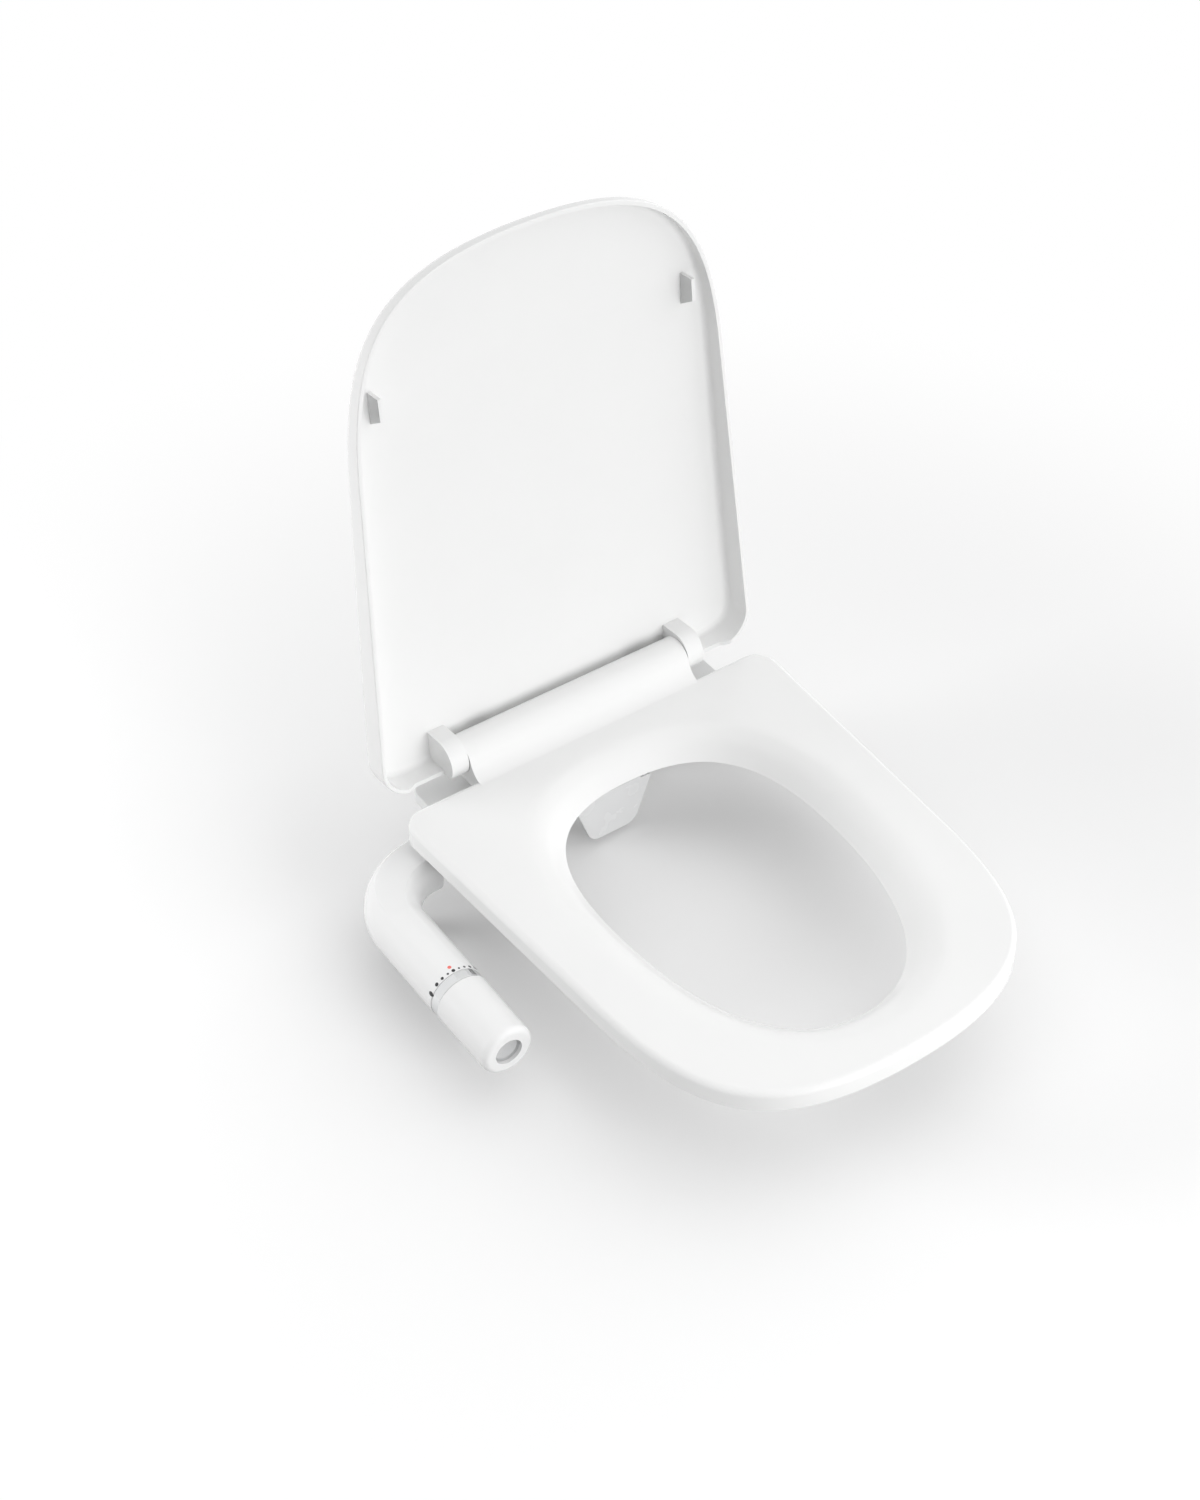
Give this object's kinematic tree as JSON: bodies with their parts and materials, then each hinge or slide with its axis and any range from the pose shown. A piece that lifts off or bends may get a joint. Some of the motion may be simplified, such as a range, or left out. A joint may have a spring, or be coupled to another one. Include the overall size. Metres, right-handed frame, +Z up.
{
  "type": "bidet seat",
  "caption": "Slim D-shaped toilet seat and dished lid on a shared hinge barrel, over a thin wash base with hidden nozzles and a side arm that ends in a rotary water knob.",
  "frame": {"origin": "midway between the two seat studs, on the plane of the bowl's rim", "axes": "+Z up out of the bowl, -Y to the front of the seat, +X to the right as seen by someone who stands in front of it"},
  "size_m": [0.4236, 0.4904, 0.5252],
  "materials": {
    "seat_white": "gloss",
    "arm_white": "gloss",
    "base_white": "satin",
    "guard_grey": "gloss",
    "bumper_grey": "satin",
    "chrome": "polished",
    "steel": "satin",
    "damper_grey": "satin",
    "nut_white": "satin",
    "brass": "satin",
    "ceramic": "polished",
    "seal_black": "matte",
    "tube_clear": "satin"
  },
  "bodies": {
    "base": {"hinge_pin": "steel", "left_hinge_post": "base_white", "right_hinge_post": "base_white", "lid_damper": "damper_grey", "seat_damper": "damper_grey", "hinge_studs": "steel", "mounting_discs": "base_white", "cone_washers": "seal_black", "wing_nuts": "nut_white", "base_top": "base_white", "base_bottom": "base_white", "base_screws": "steel", "arm_screws": "steel", "nozzle_housing": "base_white", "rear_nozzle_spring": "steel", "front_nozzle_spring": "steel", "guard_pin": "steel", "control_arm": "arm_white", "inlet_connector": "steel", "inlet_filter": "steel", "valve_body": "brass", "fixed_disc": "ceramic", "spindle_seal": "seal_black", "valve_gland": "brass", "dial_collar": "chrome", "rear_wash_tube": "tube_clear", "front_wash_tube": "tube_clear"},
    "lid": {"lid": "seat_white", "lid_bumpers": "bumper_grey", "lid_damper_shaft": "steel"},
    "seat": {"seat_ring": "seat_white", "seat_bumpers": "bumper_grey", "seat_damper_shaft": "steel"},
    "knob": {"control_knob": "arm_white", "knob_cap": "chrome", "knob_screw": "steel", "valve_spindle": "brass", "moving_disc": "ceramic"},
    "guard": {"nozzle_guard": "guard_grey"},
    "rear_nozzle_body": {"rear_nozzle": "arm_white"},
    "front_nozzle_body": {"front_nozzle": "arm_white"}
  },
  "joints": [
    {"name": "lid_hinge", "type": "hinge", "parent": "base", "child": "lid", "pos_m": [0, 0, 0.037], "axis": [-1, 0, 0], "range_deg": [-96.7, 0]},
    {"name": "seat_hinge", "type": "hinge", "parent": "base", "child": "seat", "pos_m": [0, 0, 0.037], "axis": [-1, 0, 0], "range_deg": [0, 95.4]},
    {"name": "knob_turn", "type": "hinge", "parent": "base", "child": "knob", "pos_m": [-0.2215, -0.2075, -0.013], "axis": [0, -1, 0], "range_deg": [-70, 70]},
    {"name": "guard_swing", "type": "hinge", "parent": "base", "child": "guard", "pos_m": [0, -0.06, -0.0056], "axis": [-1, 0, 0], "range_deg": [0, 70]},
    {"name": "rear_nozzle_slide", "type": "slide", "parent": "base", "child": "rear_nozzle_body", "axis": [0, -0.4226, -0.9063], "range_m": [0, 0.026], "stiffness_N_per_m": 60, "springref_m": -0.01, "deforming": ["rear_nozzle_spring"]},
    {"name": "front_nozzle_slide", "type": "slide", "parent": "base", "child": "front_nozzle_body", "axis": [0, -0.4226, -0.9063], "range_m": [0, 0.026], "stiffness_N_per_m": 60, "springref_m": -0.01, "deforming": ["front_nozzle_spring"]}
  ]
}
